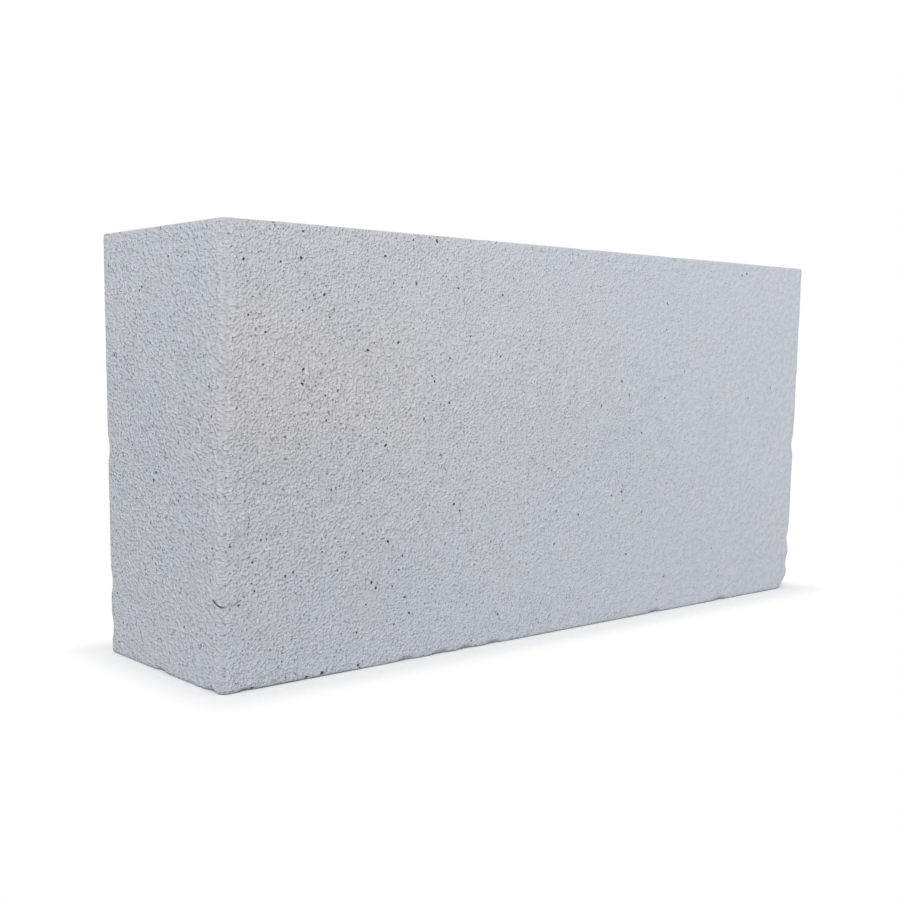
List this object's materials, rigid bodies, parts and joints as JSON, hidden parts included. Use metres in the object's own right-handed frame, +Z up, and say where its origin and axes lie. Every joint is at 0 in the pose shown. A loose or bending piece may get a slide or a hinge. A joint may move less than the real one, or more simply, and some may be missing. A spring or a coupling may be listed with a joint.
{
  "type": "insulating brick",
  "caption": "Light porous fired-clay brick with a slightly tapered section and flat mortar faces, for the insulating lining of kilns, ovens and furnaces.",
  "frame": {"origin": "middle of the narrow long face that the brick stands on, at floor level", "axes": "+X along the length, +Y through the thickness towards the back face, +Z up, from the narrow long face to the wide one"},
  "size_m": [0.23, 0.065, 0.114],
  "materials": {
    "fired_clay": "matt, pale cool grey, finely granular with open pores"
  },
  "bodies": {
    "root": {"insulating_brick": "fired_clay"}
  },
  "joints": []
}
